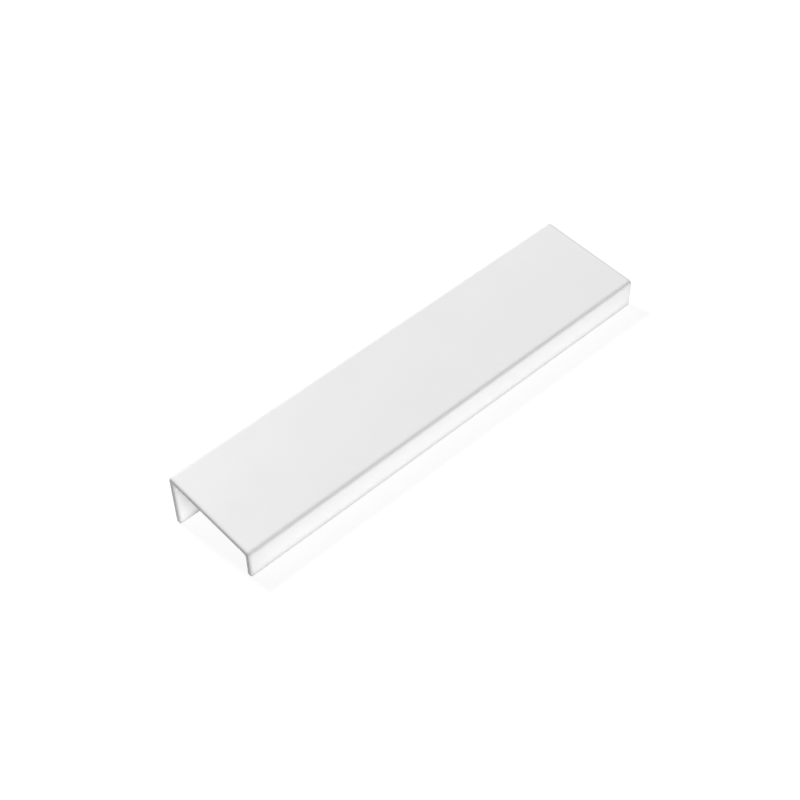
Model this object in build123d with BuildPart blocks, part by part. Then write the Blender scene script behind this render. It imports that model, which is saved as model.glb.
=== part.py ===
"""An edge pull for a drawer front: one length of bent metal profile, J-shaped across.

The web lies over the edge of the front, the tall flange stands behind the front and takes the screws,
and the short lip hangs clear of the front's face for the fingers. Millimetres: X along the profile, Y
towards the flange, Z up. The profile lies as it comes to rest on a level floor, on the flange's inner
bottom edge and the lip's outer bottom edge, so its web slopes down to the lip.
"""

import os
from math import atan2, cos, sin

from build123d import *

# Driving dimensions
length = 160.0
depth = 38.0  # over the lip and the flange
flange_height = 22.0  # from the web's upper face
lip_height = 11.2  # from the web's upper face
wall = 2.0
outer_bend_radius = 1.4
inner_bend_radius = 0.8
edge_radius = 0.6  # on every free edge
screw_spacing = 128.0
screw_drop = 12.5  # from the web's upper face to the line of the screws
screw_hole_radius = 2.1
countersink_radius = 3.8
countersink_angle = 90.0

# In the section, u runs from the lip's outer face to the back and v up from the web's upper face.
# The two edges that the profile rests on have their rounding centres level with each other.
rest_tilt = atan2(flange_height - lip_height, depth - wall)


def level_reach(u, v):
    """How far towards the back a point of the section stands, at rest."""
    return u * cos(rest_tilt) - v * sin(rest_tilt)


def height(u, v):
    """How high a point of the section stands, at rest."""
    return u * sin(rest_tilt) + v * cos(rest_tilt)


front_end = level_reach(outer_bend_radius, -outer_bend_radius) - outer_bend_radius
back_end = level_reach(depth - edge_radius, edge_radius - flange_height) + edge_radius
floor_level = height(edge_radius, edge_radius - lip_height) - edge_radius

section_plane = Plane(
    origin=(-length / 2, -(front_end + back_end) / 2, -floor_level),
    x_dir=(0, cos(rest_tilt), sin(rest_tilt)),
    z_dir=(1, 0, 0),
)
screw_plane = Plane(
    origin=section_plane.from_local_coords((depth, -screw_drop, length / 2)),
    x_dir=(1, 0, 0),
    z_dir=section_plane.x_dir,
)

# The section's corners, each with the radius that rounds it
section_corners = [
    (0, -lip_height, edge_radius),
    (0, 0, outer_bend_radius),
    (depth, 0, outer_bend_radius),
    (depth, -flange_height, edge_radius),
    (depth - wall, -flange_height, edge_radius),
    (depth - wall, -wall, inner_bend_radius),
    (wall, -wall, inner_bend_radius),
    (wall, -lip_height, edge_radius),
]

with BuildPart() as handle_profile:
    with BuildSketch(section_plane):
        with BuildLine():
            FilletPolyline(
                *[(u, v) for u, v, radius in section_corners],
                radius=[radius for u, v, radius in section_corners],
                close=True,
            )
        make_face()
    extrude(amount=length)

    # Both cut ends are rounded like the long free edges
    ends = handle_profile.faces().filter_by(Axis.X)
    fillet(ends.edges(), edge_radius)

    # Screw holes, sunk into the flange's outer face, which is hidden behind the front
    with Locations(screw_plane):
        with GridLocations(screw_spacing, 0, 2, 1):
            CounterSinkHole(
                screw_hole_radius,
                countersink_radius,
                depth=wall,
                counter_sink_angle=countersink_angle,
            )

handle_profile.part.label = "handle_profile"

os.makedirs("parts", exist_ok=True)
export_step(handle_profile.part, "parts/handle_profile.step")
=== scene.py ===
"""A white edge pull on a pale studio floor. Metres, in the part's own frame: X along the profile, Y from
the finger lip to the screw flange, Z up from the floor."""

from math import pi, radians

import bpy
from mathutils import Matrix, Vector


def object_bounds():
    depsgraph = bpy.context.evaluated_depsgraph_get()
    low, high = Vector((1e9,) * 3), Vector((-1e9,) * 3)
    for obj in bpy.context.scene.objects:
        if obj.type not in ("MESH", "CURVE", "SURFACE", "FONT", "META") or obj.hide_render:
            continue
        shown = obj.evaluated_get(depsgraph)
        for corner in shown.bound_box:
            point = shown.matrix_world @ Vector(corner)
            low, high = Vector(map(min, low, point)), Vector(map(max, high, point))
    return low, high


# The camera: where it aims, from where, and how long its lens is
AIM_POINT = Vector((-0.00389, 0.00102, 0.00638))
CAMERA_AZIMUTH = -32.046  # degrees, 0 looks along +Y and 90 along -X
CAMERA_ELEVATION = 36.458  # degrees above the floor
CAMERA_ROLL = 14.531  # degrees, the photograph is turned clockwise
CAMERA_DISTANCE = 0.50211
CAMERA_LENS = 71.79  # mm on a sensor 36 mm wide
SENSOR_WIDTH = 36.0

# The studio
FLOOR_SIDE = 6.0
PAPER_COLOUR = 0.5  # what the paper gives back of the lamps' light
SEEN_WHITE = 0.92  # the paper as the camera sees it in full shadow
SEEN_SHADOW = 0.12  # how much of the lamps' light it sees on the paper
FADE_START = 0.3  # from here on the paper whitens, up to the white of the surroundings
FADE_END = 0.8
LAMP_DISTANCE = 1.5
LAMP_SIDE = 0.25
STRIP_HEIGHT = 0.0001  # the lit strips of paper lie just above the floor

# Where each strip of paper starts and ends. Both end short of a foot, which shades the paper beside it
LIP_STRIP_FRONT = -0.03
LIP_STRIP_BACK = -0.02
CHANNEL_STRIP_FRONT = 0.0
CHANNEL_STRIP_BACK = 0.018

# The coating
COATING_COLOUR = 0.86
PAINTED_EDGE_SHADE = 0.15  # painted shade: what the coating's colour darkens towards at an edge
EDGE_SHADE_REACH = 0.001  # how far from an edge the painted shade reaches
EDGE_SHADE_SAMPLES = 8
SATIN_ROUGHNESS = 0.4
ROUGHNESS_SPREAD = 0.03
PEEL_SIZE = 0.0007  # the orange peel of baked powder
PEEL_DETAIL = 1.0
PEEL_DEPTH = 0.000007
GRAIN_SIZE = 0.00016
GRAIN_DETAIL = 2.0
GRAIN_SHARE = 0.25
CLOUD_SIZE = 0.018
CLOUD_DETAIL = 3.0
CLOUD_CONTRAST = 0.005

# Nearly all values of a noise lie between these
NOISE_LOW = 0.3
NOISE_HIGH = 0.7


def grey(level):
    """A neutral colour, as the shaders take it."""
    return (level, level, level, 1.0)


def new_material(name):
    """A new material with its nodes, its links and its shader."""
    material = bpy.data.materials.new(name)
    material.use_nodes = True
    nodes = material.node_tree.nodes
    return material, nodes, material.node_tree.links, nodes["Principled BSDF"]


def add_noise(nodes, links, position, size, detail):
    """Noise whose features are about the given size in metres."""
    noise = nodes.new("ShaderNodeTexNoise")
    noise.inputs["Scale"].default_value = 1 / size
    noise.inputs["Detail"].default_value = detail
    links.new(position, noise.inputs["Vector"])
    return noise.outputs["Fac"]


def add_range(nodes, links, value, start, end, low, high):
    """A value between start and end, stretched to lie between low and high."""
    stretch = nodes.new("ShaderNodeMapRange")
    stretch.inputs["From Min"].default_value = start
    stretch.inputs["From Max"].default_value = end
    stretch.inputs["To Min"].default_value = low
    stretch.inputs["To Max"].default_value = high
    links.new(value, stretch.inputs["Value"])
    return stretch.outputs["Result"]


def add_painted_edge_shade(nodes):
    """1 on flat faces, and less towards the edges: the mask of the painted edge shade."""
    painted_edge_shade = nodes.new("ShaderNodeAmbientOcclusion")
    painted_edge_shade.inside = True
    painted_edge_shade.only_local = True
    painted_edge_shade.samples = EDGE_SHADE_SAMPLES
    painted_edge_shade.inputs["Distance"].default_value = EDGE_SHADE_REACH
    return painted_edge_shade.outputs["AO"]


def coating_material():
    """White powder coating: a fine orange peel, a satin sheen that varies a little, and painted shade on
    the edges.
    """
    material, nodes, links, shader = new_material("white_coating")
    position = nodes.new("ShaderNodeTexCoord").outputs["Object"]
    peel = add_noise(nodes, links, position, PEEL_SIZE, PEEL_DETAIL)
    grain = add_noise(nodes, links, position, GRAIN_SIZE, GRAIN_DETAIL)
    clouds = add_noise(nodes, links, position, CLOUD_SIZE, CLOUD_DETAIL)

    tint = nodes.new("ShaderNodeMix")
    tint.data_type = "RGBA"
    tint.inputs["A"].default_value = grey(COATING_COLOUR - CLOUD_CONTRAST)
    tint.inputs["B"].default_value = grey(COATING_COLOUR + CLOUD_CONTRAST)
    links.new(add_range(nodes, links, clouds, NOISE_LOW, NOISE_HIGH, 0.0, 1.0), tint.inputs["Factor"])

    # Painted shade: the base colour darkens towards every edge
    colour = nodes.new("ShaderNodeMix")
    colour.data_type = "RGBA"
    colour.inputs["A"].default_value = grey(PAINTED_EDGE_SHADE)
    links.new(tint.outputs["Result"], colour.inputs["B"])
    links.new(add_painted_edge_shade(nodes), colour.inputs["Factor"])
    links.new(colour.outputs["Result"], shader.inputs["Base Color"])

    smooth = SATIN_ROUGHNESS - ROUGHNESS_SPREAD
    rough = SATIN_ROUGHNESS + ROUGHNESS_SPREAD
    sheen = add_range(nodes, links, clouds, NOISE_LOW, NOISE_HIGH, smooth, rough)
    links.new(sheen, shader.inputs["Roughness"])

    surface = nodes.new("ShaderNodeMix")
    surface.inputs["Factor"].default_value = GRAIN_SHARE
    links.new(peel, surface.inputs["A"])
    links.new(grain, surface.inputs["B"])
    bump = nodes.new("ShaderNodeBump")
    bump.inputs["Distance"].default_value = PEEL_DEPTH
    links.new(surface.outputs["Result"], bump.inputs["Height"])
    links.new(bump.outputs["Normal"], shader.inputs["Normal"])
    return material


def add_greater(nodes, links, first, second):
    """The greater of two values."""
    greater = nodes.new("ShaderNodeMath")
    greater.operation = "MAXIMUM"
    links.new(first, greater.inputs[0])
    links.new(second, greater.inputs[1])
    return greater.outputs["Value"]


def add_seen(nodes, links):
    """1 for what the camera sees, by itself or in a reflection or glass, and 0 for the light."""
    ray = nodes.new("ShaderNodeLightPath")
    reflected = add_greater(nodes, links, ray.outputs["Is Camera Ray"], ray.outputs["Is Glossy Ray"])
    return add_greater(nodes, links, reflected, ray.outputs["Is Transmission Ray"])


def add_glow(nodes, links):
    """A plain white glow that grows to full white away from the object."""
    position = nodes.new("ShaderNodeTexCoord").outputs["Object"]
    distance = nodes.new("ShaderNodeVectorMath")
    distance.operation = "LENGTH"
    links.new(position, distance.inputs[0])
    strength = add_range(nodes, links, distance.outputs["Value"], FADE_START, FADE_END, SEEN_WHITE, 1.0)
    glow = nodes.new("ShaderNodeEmission")
    links.new(strength, glow.inputs["Strength"])
    return glow.outputs["Emission"]


def add_paper(nodes, level):
    """Matt paper of a neutral colour."""
    paper = nodes.new("ShaderNodeBsdfDiffuse")
    paper.inputs["Color"].default_value = grey(level)
    return paper.outputs["BSDF"]


def floor_material():
    """Paper. The camera sees it as white, with the object's shadow on it."""
    material, nodes, links, shader = new_material("studio_floor")
    nodes.remove(shader)

    white = nodes.new("ShaderNodeAddShader")
    links.new(add_paper(nodes, SEEN_SHADOW), white.inputs[0])
    links.new(add_glow(nodes, links), white.inputs[1])

    floor = nodes.new("ShaderNodeMixShader")
    links.new(add_seen(nodes, links), floor.inputs["Fac"])
    links.new(add_paper(nodes, PAPER_COLOUR), floor.inputs[1])
    links.new(white.outputs["Shader"], floor.inputs[2])
    links.new(floor.outputs["Shader"], nodes["Material Output"].inputs["Surface"])
    return material


def add_floor():
    """The pale floor that the profile lies on."""
    bpy.ops.mesh.primitive_plane_add(size=FLOOR_SIDE)
    floor = bpy.context.object
    floor.name = "studio_floor"
    floor.data.materials.append(floor_material())


def add_sky():
    """Plain white surroundings that give no light: the lamps do."""
    world = bpy.data.worlds.new("studio_sky")
    bpy.context.scene.world = world
    world.use_nodes = True
    nodes = world.node_tree.nodes
    links = world.node_tree.links
    sky = nodes["Background"]
    sky.inputs["Color"].default_value = grey(1.0)
    links.new(add_seen(nodes, links), sky.inputs["Strength"])


def hide_from_reflections(holder):
    """Let a lamp light the object without being seen, also as a highlight."""
    holder.visible_camera = False
    holder.visible_glossy = False
    holder.visible_transmission = False


def add_softbox(name, azimuth, elevation, watts):
    """A square lamp aimed at the object. Azimuth 0 is in front of the lip, 90 beyond the far end."""
    lamp = bpy.data.lights.new(name, "AREA")
    lamp.shape = "SQUARE"
    lamp.size = LAMP_SIDE
    lamp.energy = watts
    holder = bpy.data.objects.new(name, lamp)
    bpy.context.scene.collection.objects.link(holder)
    turn = Matrix.Rotation(radians(azimuth), 3, "Z") @ Matrix.Rotation(radians(90 - elevation), 3, "X")
    holder.location = turn @ Vector((0, 0, LAMP_DISTANCE))
    holder.rotation_euler = turn.to_euler()
    return holder


def add_strip(name, box, front, back, strength):
    """The light that a strip of the paper, as long as the profile, throws back up. 1 is white."""
    low, high = box
    length = high[0] - low[0]
    lamp = bpy.data.lights.new(name, "AREA")
    lamp.shape = "RECTANGLE"
    lamp.size = length
    lamp.size_y = back - front
    lamp.energy = pi * strength * length * (back - front)
    holder = bpy.data.objects.new(name, lamp)
    bpy.context.scene.collection.objects.link(holder)
    holder.location = ((low[0] + high[0]) / 2, (front + back) / 2, STRIP_HEIGHT)
    holder.rotation_euler = (pi, 0, 0)
    hide_from_reflections(holder)


def add_camera():
    """The photograph's camera."""
    lens = bpy.data.cameras.new("camera")
    lens.lens = CAMERA_LENS
    lens.sensor_width = SENSOR_WIDTH
    camera = bpy.data.objects.new("camera", lens)
    bpy.context.scene.collection.objects.link(camera)
    turn = (
        Matrix.Rotation(radians(CAMERA_AZIMUTH), 3, "Z")
        @ Matrix.Rotation(radians(90 - CAMERA_ELEVATION), 3, "X")
        @ Matrix.Rotation(radians(-CAMERA_ROLL), 3, "Z")
    )
    camera.location = AIM_POINT + turn @ Vector((0, 0, CAMERA_DISTANCE))
    camera.rotation_euler = turn.to_euler()
    bpy.context.scene.camera = camera


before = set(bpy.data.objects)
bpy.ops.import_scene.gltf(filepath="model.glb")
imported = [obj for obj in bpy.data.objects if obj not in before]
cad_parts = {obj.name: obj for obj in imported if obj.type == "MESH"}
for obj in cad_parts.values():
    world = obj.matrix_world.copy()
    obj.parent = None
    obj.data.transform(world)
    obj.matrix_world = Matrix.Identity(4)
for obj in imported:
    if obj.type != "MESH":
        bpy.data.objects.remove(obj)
cad_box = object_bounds()

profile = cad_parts["handle_profile"]
profile.data.materials.clear()
profile.data.materials.append(coating_material())

add_floor()
add_sky()
add_softbox("key", azimuth=180, elevation=56, watts=22.2)
hide_from_reflections(add_softbox("far_fill", azimuth=110, elevation=50, watts=2))
hide_from_reflections(add_softbox("front_fill", azimuth=-10, elevation=5, watts=13.8))
add_strip("strip_by_lip", cad_box, LIP_STRIP_FRONT, LIP_STRIP_BACK, strength=0.76)
add_strip("strip_in_channel", cad_box, CHANNEL_STRIP_FRONT, CHANNEL_STRIP_BACK, strength=0.82)
add_camera()
bpy.context.scene.view_settings.view_transform = "Standard"
